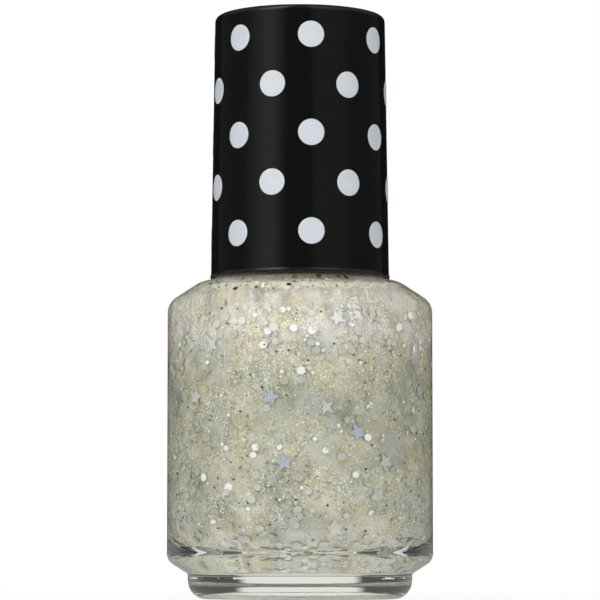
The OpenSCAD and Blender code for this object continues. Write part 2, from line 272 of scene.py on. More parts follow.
# Polish.
# A clear lacquer, milky with champagne shimmer, poured in up to the foot of the neck. Its heart
# can't be seen through; the glitter floats in the clear layer between the heart and the glass.
HEART_DEPTH, HEART_FLOOR_DEPTH, HEART_BOWL_ROUND = 0.5, 0.2, 6.5
HEART_NECK_GAP, HEART_EDGE, WELL_R, WELL_FLOOR = 0.05, 0.1, 2.5, 6.8
BEND_LOW, BEND_TOP, BEND_DENSE = 35.5, 36.4, 1.8
heart = outline([
    (0, CAVITY_FLOOR + HEART_FLOOR_DEPTH, 0),
    (CAVITY_R - HEART_DEPTH, CAVITY_FLOOR + HEART_FLOOR_DEPTH, HEART_BOWL_ROUND),
    *cavity_corners(HEART_DEPTH)[-3::-1],
    (BORE_R - HEART_NECK_GAP, FILL_H, HEART_EDGE),
    (WELL_R, FILL_H, HEART_EDGE),
    (WELL_R, WELL_FLOOR, HEART_EDGE),
    (0, WELL_FLOOR, 0),
])
polish_heart = new_piece("polish_heart", *turned(heart, segments=160))


def toned(tree, value, tones, blend="LINEAR"):
    """A colour that a value picks from tones (position, colour)."""
    pick = put(tree, "ValToRGB", {0: value})
    ramp = pick.color_ramp
    ramp.interpolation = blend
    ramp.elements.remove(ramp.elements[1])
    ramp.elements[0].position = tones[0][0]
    ramp.elements[0].color = (*tones[0][1], 1)
    for position, colour in tones[1:]:
        ramp.elements.new(position).color = (*colour, 1)
    return pick


def shimmer_group():
    """Colour of lacquer full of shimmer: olive, ochre and cream that drift into each other, cool
    patches, milky wisps, and fine specks that crowd together in places. The pattern is denser in
    the bend under the shoulder, which the glass stretches."""
    group = bpy.data.node_groups.new("polish_shimmer", "ShaderNodeTree")
    group.interface.new_socket("Drift Scale", in_out="INPUT", socket_type="NodeSocketFloat")
    group.interface.new_socket("Speck Scale", in_out="INPUT", socket_type="NodeSocketFloat")
    group.interface.new_socket("Color", in_out="OUTPUT", socket_type="NodeSocketColor")
    group.interface.new_socket("Roughness", in_out="OUTPUT", socket_type="NodeSocketFloat")
    given = group.nodes.new("NodeGroupInput")
    place = put(group, "TexCoord")
    up = put(group, "SeparateXYZ", {0: place.outputs["Object"]})
    dense = put(group, "MapRange", {
        "Value": up.outputs["Z"], "From Min": BEND_LOW * MM, "From Max": BEND_TOP * MM,
        "To Max": BEND_DENSE * MM})
    place = put(group, "VectorMath", {
        0: place.outputs["Object"], 1: put(group, "CombineXYZ", {"Z": dense})}, operation="ADD")
    drift = put(group, "TexNoise", {
        "Vector": place, "Scale": given.outputs["Drift Scale"], "Detail": 3.0})
    drifts = put(group, "SeparateColor", {0: drift.outputs["Color"]})
    shown = toned(group, drifts.outputs[0], (
        (0.34, (0.23, 0.24, 0.19)), (0.45, (0.35, 0.35, 0.27)), (0.54, (0.46, 0.42, 0.26)),
        (0.66, (0.60, 0.57, 0.47)))).outputs[0]
    cool = put(group, "MapRange", {
        "Value": drifts.outputs[2], "From Min": 0.47, "From Max": 0.62, "To Max": 0.65})
    shown = put(group, "Mix", {
        0: cool, 6: shown, 7: (0.43, 0.45, 0.44, 1)}, data_type="RGBA").outputs[2]
    wisp_scale = put(group, "Math", {0: given.outputs["Drift Scale"], 1: 2.7}, operation="MULTIPLY")
    wisps = put(group, "TexNoise", {"Vector": place, "Scale": wisp_scale, "Detail": 4.0})
    wispy = put(group, "MapRange", {
        "Value": wisps.outputs[0], "From Min": 0.46, "From Max": 0.66, "To Max": 0.7})
    shown = put(group, "Mix", {
        0: wispy, 6: shown, 7: (0.58, 0.57, 0.52, 1)}, data_type="RGBA").outputs[2]
    crowd = put(group, "MapRange", {
        "Value": drifts.outputs[1], "From Min": 0.40, "From Max": 0.58, "To Min": 0.22})
    for share, strongest, tones in (
            (0.4, 0.5, (
                (0.0, (0.29, 0.29, 0.20)), (0.3, (0.60, 0.58, 0.40)), (0.65, (0.70, 0.70, 0.62)))),
            (1.0, 0.95, (
                (0.0, (0.12, 0.12, 0.08)), (0.09, (0.54, 0.50, 0.26)), (0.36, (0.37, 0.37, 0.26)),
                (0.60, (0.74, 0.72, 0.56)), (0.86, (0.95, 0.94, 0.88))))):
        scale = put(group, "Math", {
            0: given.outputs["Speck Scale"], 1: share}, operation="MULTIPLY")
        specks = put(group, "TexVoronoi", {"Vector": place, "Scale": scale})
        draw = put(group, "SeparateColor", {0: specks.outputs["Color"]})
        tone = toned(group, draw.outputs[0], tones, "CONSTANT")
        shows = put(group, "MapRange", {
            "Value": draw.outputs[1], "From Min": 0.35, "To Max": strongest})
        shows = put(group, "Math", {0: shows, 1: crowd}, operation="MULTIPLY")
        shown = put(group, "Mix", {0: shows, 6: shown, 7: tone}, data_type="RGBA").outputs[2]
    gloss = put(group, "MapRange", {"Value": shows, "To Min": 0.55, "To Max": 0.3})
    out = group.nodes.new("NodeGroupOutput")
    group.links.new(shown, out.inputs["Color"])
    group.links.new(gloss.outputs[0], out.inputs["Roughness"])
    return group


def painted_light_group():
    """Painted light and shade by height: how much lighter the lacquer is painted, in place of light
    that comes in through the shoulder and the thick base and spreads in the milk. It is lightest at
    the floor, lighter under the shoulder and on the roof, and darker in the neck. Gives that factor
    and the plain lacquer's tone under it."""
    group = bpy.data.node_groups.new("polish_painted_light", "ShaderNodeTree")
    group.interface.new_socket("Factor", in_out="OUTPUT", socket_type="NodeSocketColor")
    group.interface.new_socket("Color", in_out="OUTPUT", socket_type="NodeSocketColor")
    place = put(group, "TexCoord")
    up = put(group, "SeparateXYZ", {0: place.outputs["Object"]})
    height = put(group, "MapRange", {"Value": up.outputs["Z"], "From Max": FILL_H * MM})
    # Painted tints by height: painted light at the bottom and under the shoulder, painted shade in
    # the neck.
    painted_lift = toned(group, height.outputs[0], [(z / FILL_H, tint) for z, tint in (
        (5.51, (2.30, 2.30, 2.35)), (5.6, (1.80, 1.80, 1.85)), (6.5, (1.66, 1.66, 1.70)),
        (7.5, (1.38, 1.38, 1.41)), (9.0, (1.20, 1.21, 1.22)), (12.0, (1.17, 1.18, 1.18)),
        (16.0, (1.07, 1.08, 1.04)), (27.0, (1.07, 1.08, 1.04)), (31.0, (1.28, 1.27, 1.30)),
        (33.0, (1.60, 1.56, 1.66)), (35.6, (1.56, 1.52, 1.60)), (36.3, (1.36, 1.34, 1.38)),
        (37.3, (1.78, 1.74, 1.68)), (37.9, (1.78, 1.74, 1.68)), (38.2, (0.82, 0.82, 0.75)))])
    tone = put(group, "Mix", {
        0: 1.0, 6: painted_lift, 7: (0.41, 0.41, 0.32, 1)}, data_type="RGBA", blend_type="MULTIPLY")
    out = group.nodes.new("NodeGroupOutput")
    group.links.new(painted_lift.outputs[0], out.inputs["Factor"])
    group.links.new(tone.outputs[2], out.inputs["Color"])
    return group


polish_shimmer, polish_painted_light = shimmer_group(), painted_light_group()
glitter_polish = new_material("glitter_polish")
tree = glitter_polish.node_tree
shimmer = put(tree, "Group", node_tree=polish_shimmer)
shimmer.inputs["Drift Scale"].default_value = 220.0
shimmer.inputs["Speck Scale"].default_value = 6200.0
# The shimmer's colour is multiplied by painted light and shade that change with height.
painted_lift = put(tree, "Group", node_tree=polish_painted_light)
lit_polish = put(tree, "Mix", {
    0: 1.0, 6: shimmer.outputs["Color"], 7: painted_lift.outputs["Factor"]},
    data_type="RGBA", blend_type="MULTIPLY", clamp_result=True)
put(tree, "OutputMaterial", {"Surface": put(tree, "BsdfPrincipled", {
    "Base Color": lit_polish.outputs[2], "Roughness": shimmer.outputs["Roughness"],
    "Specular IOR Level": 1.0})})
polish_heart.data.materials.append(glitter_polish)
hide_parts("polish")
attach(polish_heart, "bottle")


# Glitter.
# Plates cut from coated film: pale hexagons, fine gold ones, dark and black flecks, and stars. They
# float in the lacquer, mostly flat against the glass, and some have settled on the floor.
PLATE_FACE, TILT_ROOM, FILM_ROUGHNESS = 0.76, 0.85, 0.4
LIGHT_BAND_H, SETTLED_LOW, SETTLED_TOP = 30.0, 5.2, 7.2
STAR_COUNT, STAR_INNER, STARS_BACK_TOP = 9, 0.48, 33.0
BOWL_TOP_H, BOWL_BEND = 12, 0.02
wall = outline(cavity_corners(0), arc_step=3.0)
wall_rings = []
for (r0, z0), (r1, z1) in zip(wall, wall[1:]):
    wall_rings.append(((r0, z0), (r1, z1), (r0 + r1) * math.hypot(r1 - r0, z1 - z0)))


def strewn(count, seed, lowest=0.0, highest=FILL_H):
    """Places on the cavity's wall with their outward directions, spread evenly by area."""
    draw = random.Random(seed)
    spots = []
    while len(spots) < count:
        (r0, z0), (r1, z1), _ = draw.choices(wall_rings, [ring[2] for ring in wall_rings])[0]
        share = draw.random()
        turn = Matrix.Rotation(draw.uniform(0, 2 * math.pi), 3, "Z")
        spot = Vector((r0 + (r1 - r0) * share, 0, z0 + (z1 - z0) * share))
        if lowest < spot.z < highest:
            spots.append((turn @ spot, turn @ Vector((z0 - z1, 0, r1 - r0)).normalized()))
    return spots


def regular(points, inner=1.0):
    """Corners of a regular shape or, with an inner radius, of a star."""
    count = points if inner == 1.0 else 2 * points
    return [Vector((math.cos(2 * math.pi * k / count), math.sin(2 * math.pi * k / count), 0))
            * (inner if k % 2 and inner != 1.0 else 1.0) for k in range(count)]


def glitter(name, shape, spots, sizes, depths, lean, thick, finish):
    """One mesh of thin plates, each under its place on the wall. The value "clear" rises from 0 at
    a plate's border to 1 on its face."""
    draw = random.Random(name)
    verts, faces = [], []
    n = len(shape)
    for spot, out in spots:
        size, depth = draw.uniform(*sizes), draw.uniform(*depths)
        tilt = min(lean, math.degrees(math.asin(min(1, depth * TILT_ROOM / size))))
        pose = out.to_track_quat("Z", "Y").to_matrix()
        pose = pose @ Matrix.Rotation(draw.uniform(0, 2 * math.pi), 3, "Z")
        pose = pose @ Matrix.Rotation(math.radians(draw.uniform(-tilt, tilt)), 3, "X")
        pose = pose @ Matrix.Rotation(draw.uniform(0, 2 * math.pi), 3, "Z")
        first = len(verts)
        for side, share in ((-0.5, 1.0), (0.5, 1.0), (0.5, PLATE_FACE)):
            lift = Vector((0, 0, side * thick))
            verts += [spot - out * depth + pose @ (p * size * share + lift) for p in shape]
        faces.append(tuple(range(first + n - 1, first - 1, -1)))
        faces.append(tuple(range(first + 2 * n, first + 3 * n)))
        for k in range(n):
            j = (k + 1) % n
            for ring in (first, first + n):
                faces.append((ring + k, ring + j, ring + n + j, ring + n + k))
    plates = new_piece(name, verts, faces)
    plates.data.shade_flat()
    clear = plates.data.attributes.new("clear", "FLOAT", "POINT")
    clear.data.foreach_set("value", ([0.0] * 2 * n + [1.0] * n) * len(spots))
    plates.data.materials.append(finish)
    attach(plates, "bottle")


def film(name, tones, haze):
    """Coated film, cut into plates that each take one of the tones (share, colour). The milk around
    them hides as much of a plate's border as the haze says."""
    made = new_material(name)
    tree = made.node_tree
    plate = put(tree, "NewGeometry")
    tone = toned(tree, plate.outputs["Random Per Island"], tones, "CONSTANT")
    clear = put(tree, "Attribute", attribute_name="clear").outputs["Fac"]
    clear = put(tree, "MapRange", {"Value": clear, "To Min": 1.0 - haze})
    # Painted light and shade by height lighten the plates' tones as they do the lacquer, and a
    # hidden border takes the lacquer's painted tone.
    painted_lift = put(tree, "Group", node_tree=polish_painted_light)
    tone = put(tree, "Mix", {
        0: 1.0, 6: tone, 7: painted_lift.outputs["Factor"]},
        data_type="RGBA", blend_type="MULTIPLY", clamp_result=True)
    dimmed = put(tree, "Mix", {
        0: clear, 6: painted_lift.outputs["Color"], 7: tone.outputs[2]}, data_type="RGBA")
    put(tree, "OutputMaterial", {"Surface": put(tree, "BsdfPrincipled", {
        "Base Color": dimmed.outputs[2], "Roughness": FILM_ROUGHNESS})})
    return made


pearl_film = film("pearl_film", (
    (0, (0.46, 0.46, 0.39)), (0.42, (0.53, 0.54, 0.48)), (0.78, (0.86, 0.86, 0.84)),
    (0.975, (0.36, 0.37, 0.33))), 0.85)
gold_film = film("gold_film", (
    (0, (0.60, 0.57, 0.38)), (0.4, (0.72, 0.70, 0.57)), (0.65, (0.39, 0.38, 0.26)),
    (0.85, (0.93, 0.92, 0.88))), 0.3)
dark_film = film("dark_film", (
    (0, (0.12, 0.12, 0.10)), (0.45, (0.21, 0.20, 0.17)), (0.75, (0.05, 0.05, 0.05))), 0.3)
black_film = film("black_film", ((0, (0.015, 0.015, 0.015)), (0.6, (0.05, 0.05, 0.04))), 0.2)
settled_film = film("settled_film", (
    (0, (0.48, 0.49, 0.42)), (0.35, (0.37, 0.37, 0.30)), (0.62, (0.40, 0.44, 0.45)),
    (0.76, (0.47, 0.43, 0.39)), (0.86, (0.60, 0.61, 0.57))), 0.8)
hexagon, star = regular(6), regular(5, STAR_INNER)

# Pale plates keep out of the bend under the shoulder, where the glass would draw them into streaks.
coarse_spots = strewn(250, 1, highest=BEND_LOW)
coarse_spots += strewn(60, 11, LIGHT_BAND_H, BEND_LOW) + strewn(40, 16, BEND_TOP)
medium_spots = strewn(680, 2, highest=BEND_LOW)
medium_spots += strewn(220, 12, LIGHT_BAND_H, BEND_LOW) + strewn(420, 13, BEND_TOP)
settled_spots = strewn(130, 19, SETTLED_LOW, SETTLED_TOP)
fine_spots = strewn(5800, 3, highest=BEND_LOW) + strewn(350, 17, BEND_TOP)
dark_spots = strewn(800, 4) + strewn(400, 14, BEND_TOP)
black_spots = strewn(120, 18, BEND_TOP)
for name, spots, sizes, depths, lean, thick, finish in (
        ("glitter_coarse", coarse_spots, (0.40, 0.62), (0.14, 0.46), 25, 0.03, pearl_film),
        ("glitter_medium", medium_spots, (0.14, 0.30), (0.10, 0.46), 35, 0.03, pearl_film),
        ("glitter_settled", settled_spots, (0.40, 0.70), (0.06, 0.15), 9, 0.03, settled_film),
        ("glitter_fine", fine_spots, (0.045, 0.095), (0.05, 0.46), 40, 0.02, gold_film),
        ("glitter_dark", dark_spots, (0.05, 0.19), (0.06, 0.40), 40, 0.02, dark_film),
        ("glitter_black", black_spots, (0.16, 0.36), (0.06, 0.25), 40, 0.02, black_film)):
    glitter(name, hexagon, spots, sizes, depths, lean, thick, finish)
for tone, shades, seed, places in (
        ("white", ((0, (0.55, 0.57, 0.55)), (0.6, (0.49, 0.51, 0.47))), 5, (
            (-49, 30.9), (19, 34.0), (-61, 24.7), (13, 23.2), (47, 16.6), (42, 12.6))),
        ("blue", ((0, (0.40, 0.47, 0.58)), (0.5, (0.42, 0.48, 0.51))), 6, (
            (-15, 24.4), (30, 20.2), (-8, 16.5), (76, 25.5))),
        ("pink", ((0, (0.52, 0.455, 0.41)), (0.6, (0.48, 0.45, 0.45))), 7, (
            (28, 33.0), (70, 29.9), (1, 15.9), (18, 8.6)))):
    spots = strewn(STAR_COUNT, seed, highest=STARS_BACK_TOP)
    spots = [spot for spot in spots if spot[0].y > 0]
    for facing, height in places:
        out = Matrix.Rotation(math.radians(facing - 90), 3, "Z") @ Vector((1, 0, 0))
        reach = CAVITY_R - BOWL_BEND * max(0, BOWL_TOP_H - height) ** 2
        spots.append((out * reach + Vector((0, 0, height)), out))
    star_film = film("star_" + tone, shades, 0.8)
    glitter("stars_" + tone, star, spots, (0.95, 1.25), (0.26, 0.42), 8, 0.04, star_film)


# Bristle tuft.
# Black nylon bristles, folded round the anchor and packed in the stem's end. They fan out a little,
# the middle ones are the longest, and polish clings to their lower part.
STEM_END_H, TUFT_TIP_H, TUFT_R, TUFT_SPREAD, TUFT_CROWN = 22.1, 7.1, 1.33, 1.3, 1.8
TUFT_HOLE_R, TUFT_HOLE_H = 1.45, 26.6
PACK_LOW, PACK_TOP, PACK_GAP = 0.15, 3.2, 0.02
BRISTLE_R, BRISTLE_COUNT, BRISTLE_SIDES, BRISTLE_RINGS = 0.05, 420, 5, 7
BRISTLE_ROOT, TIP_SCATTER, TIP_TAPER, SWAY, FAN_BEND = 0.4, 0.25, 0.45, 0.06, 1.4
GOLDEN_TURN = 137.508
WET_LOW_H, WET_TOP_H, WET_RUNS, WET_SHARE = 15.5, 23.5, 9.0, 0.85
verts, faces = turned(outline([
    (0, STEM_END_H + PACK_LOW, 0),
    (TUFT_HOLE_R - PACK_GAP, STEM_END_H + PACK_LOW, 0.1),
    (TUFT_HOLE_R - PACK_GAP, STEM_END_H + PACK_TOP, 0.4),
    (0, STEM_END_H + PACK_TOP, 0),
]), segments=48)
draw = random.Random(8)
for i in range(BRISTLE_COUNT):
    share = math.sqrt((i + 0.5) / BRISTLE_COUNT)
    turn = math.radians(GOLDEN_TURN * i)
    tip_h = TUFT_TIP_H + TUFT_CROWN * share * share + draw.uniform(0, TIP_SCATTER)
    sway = draw.uniform(-SWAY, SWAY)
    first = len(verts)
    for ring in range(BRISTLE_RINGS + 1):
        along = ring / BRISTLE_RINGS
        r = TUFT_R * share * (1 + (TUFT_SPREAD - 1) * along ** FAN_BEND)
        angle = turn + sway * math.sin(math.pi * along)
        middle = Vector((r * math.cos(angle), r * math.sin(angle), 0))
        middle.z = STEM_END_H + BRISTLE_ROOT + (tip_h - STEM_END_H - BRISTLE_ROOT) * along
        width = BRISTLE_R * (1 if ring < BRISTLE_RINGS else TIP_TAPER)
        for k in range(BRISTLE_SIDES):
            corner = 2 * math.pi * k / BRISTLE_SIDES
            verts.append(middle + width * Vector((math.cos(corner), -math.sin(corner), 0)))
    for ring in range(BRISTLE_RINGS):
        low = first + ring * BRISTLE_SIDES
        for k in range(BRISTLE_SIDES):
            a, b = low + k, low + (k + 1) % BRISTLE_SIDES
            faces.append((a, b, b + BRISTLE_SIDES, a + BRISTLE_SIDES))
    faces.append(tuple(range(first + BRISTLE_SIDES - 1, first - 1, -1)))
    last = first + BRISTLE_RINGS * BRISTLE_SIDES
    faces.append(tuple(range(last, last + BRISTLE_SIDES)))
bristles = new_piece("bristles", verts, faces)
bristle_nylon = new_material("bristle_nylon")
tree = bristle_nylon.node_tree
place = put(tree, "TexCoord")
up = put(tree, "SeparateXYZ", {0: place.outputs["Object"]})
runs = put(tree, "TexNoise", {"Vector": place.outputs["Object"], "Scale": 1400.0, "Detail": 2.0})
level = put(tree, "Math", {
    0: runs.outputs[0], 1: WET_RUNS * MM, 2: up.outputs["Z"]}, operation="MULTIPLY_ADD")
wet = put(tree, "MapRange", {
    "Value": level, "From Min": WET_LOW_H * MM, "From Max": WET_TOP_H * MM,
    "To Min": WET_SHARE, "To Max": 0.0})
shimmer = put(tree, "Group", node_tree=polish_shimmer)
shimmer.inputs["Drift Scale"].default_value = 900.0
shimmer.inputs["Speck Scale"].default_value = 5200.0
coated = put(tree, "Mix", {
    0: wet.outputs[0], 6: (0.022, 0.022, 0.024, 1), 7: shimmer.outputs["Color"]}, data_type="RGBA")
put(tree, "OutputMaterial", {"Surface": put(tree, "BsdfPrincipled", {
    "Base Color": coated.outputs[2], "Roughness": 0.38, "Coat Weight": wet.outputs[0]})})
bristles.data.materials.append(bristle_nylon)
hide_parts("bristle_tuft")
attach(bristles, "cap")


# Tuft anchor.
# A bit of flat brass wire, driven into the tuft's hole over the fold of the bristles. It can't be
# seen once the brush is made.
anchor_wire = new_material("anchor_wire")
tree = anchor_wire.node_tree
place = put(tree, "TexCoord")
along = put(tree, "Mapping", {"Vector": place.outputs["Object"], "Scale": (300.0, 6000.0, 6000.0)})
drawn = put(tree, "TexNoise", {"Vector": along, "Scale": 1.0, "Detail": 3.0})
dulled = put(tree, "MapRange", {"Value": drawn.outputs[0], "To Min": 0.2, "To Max": 0.45})
put(tree, "OutputMaterial", {"Surface": put(tree, "BsdfPrincipled", {
    "Base Color": (0.66, 0.47, 0.18, 1), "Metallic": 1.0, "Roughness": dulled})})
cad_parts["tuft_anchor"].data.materials.clear()
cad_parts["tuft_anchor"].data.materials.append(anchor_wire)


# Brush stem.
# A satin black moulding: a thin stem with the tuft's hole in its end, a flange that shuts the neck,
# and a plug that is pressed into the inner cap's socket.
STEM_R, STEM_TIP_R, PLUG_R, PLUG_TOP_H = 2.2, 1.9, 3.0, 61.14
FLANGE_R, FLANGE_H, FLANGE_T = 7.33, 54.54, 1.2
HAZE_SCALE, PEEL_SCALE, PEEL_DEPTH = 420.0, 1900.0, 0.02
brush_stem = new_piece("brush_stem_moulded", *turned(outline([
    (0, TUFT_HOLE_H, 0),
    (TUFT_HOLE_R, TUFT_HOLE_H, 0.05),
    (TUFT_HOLE_R, STEM_END_H, 0.05),
    (STEM_TIP_R, STEM_END_H, 0.25),
    (STEM_R, FLANGE_H, 0.3, 24),
    (FLANGE_R, FLANGE_H, 0.1),
    (FLANGE_R, FLANGE_H + FLANGE_T, 0.1),
    (PLUG_R, FLANGE_H + FLANGE_T, 0.05),
    (PLUG_R, PLUG_TOP_H, 0.5),
    (0, PLUG_TOP_H, 0),
]), segments=96))


def moulding_group():
    """Skin of a plastic moulding: fine haze in the gloss and a faint orange peel."""
    group = bpy.data.node_groups.new("moulding_skin", "ShaderNodeTree")
    for name in ("Haze Scale", "Smoothest", "Dullest"):
        group.interface.new_socket(name, in_out="INPUT", socket_type="NodeSocketFloat")
    group.interface.new_socket("Roughness", in_out="OUTPUT", socket_type="NodeSocketFloat")
    group.interface.new_socket("Height", in_out="OUTPUT", socket_type="NodeSocketFloat")
    given = group.nodes.new("NodeGroupInput")
    place = put(group, "TexCoord")
    haze = put(group, "TexNoise", {
        "Vector": place.outputs["Object"], "Scale": given.outputs["Haze Scale"], "Detail": 5.0})
    rough = put(group, "MapRange", {
        "Value": haze.outputs[0], "From Min": 0.3, "From Max": 0.7,
        "To Min": given.outputs["Smoothest"], "To Max": given.outputs["Dullest"]})
    peel = put(group, "TexNoise", {
        "Vector": place.outputs["Object"], "Scale": PEEL_SCALE, "Detail": 2.0})
    out = group.nodes.new("NodeGroupOutput")
    group.links.new(rough.outputs[0], out.inputs["Roughness"])
    group.links.new(peel.outputs[0], out.inputs["Height"])
    return group


moulding_skin = moulding_group()


def moulded(name, colour, smoothest, dullest, peel):
    """A plastic with that skin."""
    made = new_material(name)
    tree = made.node_tree
    skin = put(tree, "Group", node_tree=moulding_skin)
    skin.inputs["Haze Scale"].default_value = HAZE_SCALE
    skin.inputs["Smoothest"].default_value = smoothest
    skin.inputs["Dullest"].default_value = dullest
    bump = put(tree, "Bump", {
        "Strength": peel, "Distance": PEEL_DEPTH * MM, "Height": skin.outputs["Height"]})
    put(tree, "OutputMaterial", {"Surface": put(tree, "BsdfPrincipled", {
        "Base Color": (*colour, 1), "Roughness": skin.outputs["Roughness"], "Normal": bump})})
    return made


brush_stem.data.materials.append(moulded("stem_black", (0.012, 0.012, 0.013), 0.26, 0.42, 0.3))
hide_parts("brush_stem")
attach(brush_stem, "cap")


# Inner cap.
# Black polypropylene with a thread in its skirt, which screws onto the neck, and a socket on top
# for the stem's plug.
INNER_CAP_R, INNER_CAP_TOP, SKIRT_H, INNER_CEILING = 8.9556, 57.16, 40.45, 55.76
SOCKET_R, SOCKET_TOP, SOCKET_BORE_R = 4.5, 61.76, 3.02
BORE_THREAD_R, RIDGE_R, RIDGE_H, RIDGE_TURNS = 7.57, 6.87, 46.872, 1.5


def bore_thread(angle, r, z):
    """How far the thread stands into the inner cap's bore at a place in it."""
    if abs(r - BORE_THREAD_R) > NEAR:
        return 0
    return (RIDGE_R - BORE_THREAD_R) * thread_share(angle, z, RIDGE_H, RIDGE_TURNS)


inner_cap = new_piece("inner_cap_moulded", *turned(outline([
    (BORE_THREAD_R, SKIRT_H, 0.5),
    (INNER_CAP_R, SKIRT_H, 0.5),
    (INNER_CAP_R, INNER_CAP_TOP, 0.5),
    (SOCKET_R, INNER_CAP_TOP, 0.5),
    (SOCKET_R, SOCKET_TOP, 0.5),
    (SOCKET_BORE_R, SOCKET_TOP, 0.1),
    (SOCKET_BORE_R, INNER_CEILING, 0.05),
    (BORE_THREAD_R, INNER_CEILING, 0.05, NECK_ROWS),
], closed=True), closed=True, segments=192, swell=bore_thread))
inner_cap.data.materials.append(moulded("inner_black", (0.016, 0.016, 0.017), 0.32, 0.50, 0.4))
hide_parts("inner_cap")
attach(inner_cap, "cap")


# Sealing washer.
# White foamed polyethylene, punched from sheet. It sits on the stem under the flange, and the cap
# squeezes it on the neck's rim.
WASHER_R, WASHER_BORE_R, WASHER_H, WASHER_T = 7.35, 2.3, 53.52, 1.0
PORE_DEPTH = 0.05
washer = new_piece("washer_punched", *turned(outline([
    (WASHER_BORE_R, WASHER_H, 0.12),
    (WASHER_R, WASHER_H, 0.22),
    (WASHER_R, WASHER_H + WASHER_T, 0.22),
    (WASHER_BORE_R, WASHER_H + WASHER_T, 0.12),
], closed=True), closed=True, segments=128))
seal_foam = new_material("seal_foam")
tree = seal_foam.node_tree
place = put(tree, "TexCoord")
cells = put(tree, "TexVoronoi", {"Vector": place.outputs["Object"], "Scale": 4200.0})
# The pale foam is painted darker in the pits of its pores, as shade, from the same cells that dent
# its surface.
foam_tone_and_pore_shade = put(tree, "Mix", {
    0: cells.outputs["Distance"], 6: (0.72, 0.72, 0.69, 1), 7: (0.80, 0.80, 0.77, 1)},
    data_type="RGBA")
pores = put(tree, "Bump", {
    "Strength": 0.5, "Distance": PORE_DEPTH * MM, "Height": cells.outputs["Distance"]})
put(tree, "OutputMaterial", {"Surface": put(tree, "BsdfPrincipled", {
    "Base Color": foam_tone_and_pore_shade.outputs[2], "Roughness": 0.75, "Normal": pores})})
washer.data.materials.append(seal_foam)
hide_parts("sealing_washer")
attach(washer, "seal")


# Overcap.
# A tall gloss black moulding, slightly narrower at the top, with a soft crown and a fine lip at its
# mouth. Twelve ribs inside grip the inner cap and stop its top.
CAP_H, CAP_TOP_H, CAP_R, CAP_TOP_R = 39.65, 73.0, 11.125, 10.65
CAP_WALL, CAP_CEILING, CROWN_RISE = 1.1, 71.2, 0.2
LIP_H, LIP_OUT, LIP_SLOPE = 0.65, 0.09, 0.22
RIB_COUNT, RIB_W, RIB_STEP, RIB_GAP, RIB_ROOT = 12, 1.0, 1.5, 0.02, 0.4
RIB_LOW_H = SKIRT_H + 0.8


def cap_r(z):
    """Outside radius of the overcap at a height."""
    return CAP_R + (CAP_TOP_R - CAP_R) * (z - CAP_H) / (CAP_TOP_H - CAP_H)


crown = [(CAP_TOP_R * share, CAP_TOP_H - CROWN_RISE * share * share, 0)
         for share in (0.9, 0.8, 0.7, 0.6, 0.5, 0.4, 0.3, 0.2, 0.1, 0.0)]
verts, faces = turned(outline([
    (0, CAP_CEILING, 0),
    (cap_r(CAP_CEILING) - CAP_WALL, CAP_CEILING, 0.7),
    (CAP_R - CAP_WALL, CAP_H, 0.12),
    (CAP_R + LIP_OUT, CAP_H, 0.42),
    (CAP_R + LIP_OUT, CAP_H + LIP_H - LIP_SLOPE, 0.05),
    (cap_r(CAP_H + LIP_H), CAP_H + LIP_H, 0.1),
    (CAP_TOP_R, CAP_TOP_H - CROWN_RISE, 0.7),
    *crown,
]))
rib = [
    (INNER_CAP_R + RIB_GAP, RIB_LOW_H),
    (cap_r(RIB_LOW_H) - CAP_WALL + RIB_ROOT, RIB_LOW_H),
    (cap_r(CAP_CEILING) - CAP_WALL + RIB_ROOT, CAP_CEILING + RIB_ROOT),
    (INNER_CAP_R - RIB_STEP, CAP_CEILING + RIB_ROOT),
    (INNER_CAP_R - RIB_STEP, INNER_CAP_TOP + RIB_GAP),
    (INNER_CAP_R + RIB_GAP, INNER_CAP_TOP + RIB_GAP),
]
for i in range(RIB_COUNT):
    turn = Matrix.Rotation(2 * math.pi * i / RIB_COUNT, 3, "Z")
    first, n = len(verts), len(rib)
    verts += [tuple(turn @ Vector((r, side * RIB_W / 2, z))) for side in (1, -1) for r, z in rib]
    faces += [tuple(range(first + n - 1, first - 1, -1)), tuple(range(first + n, first + 2 * n))]
    for k in range(n):
        j = (k + 1) % n
        faces.append((first + k, first + j, first + n + j, first + n + k))
overcap = new_piece("overcap_moulded", verts, faces)
for face in overcap.data.polygons[-RIB_COUNT * (len(rib) + 2):]:
    face.use_smooth = False
overcap.data.materials.append(moulded("cap_black", (0.005, 0.005, 0.0055), 0.10, 0.18, 0.15))
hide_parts("overcap")
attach(overcap, "cap")


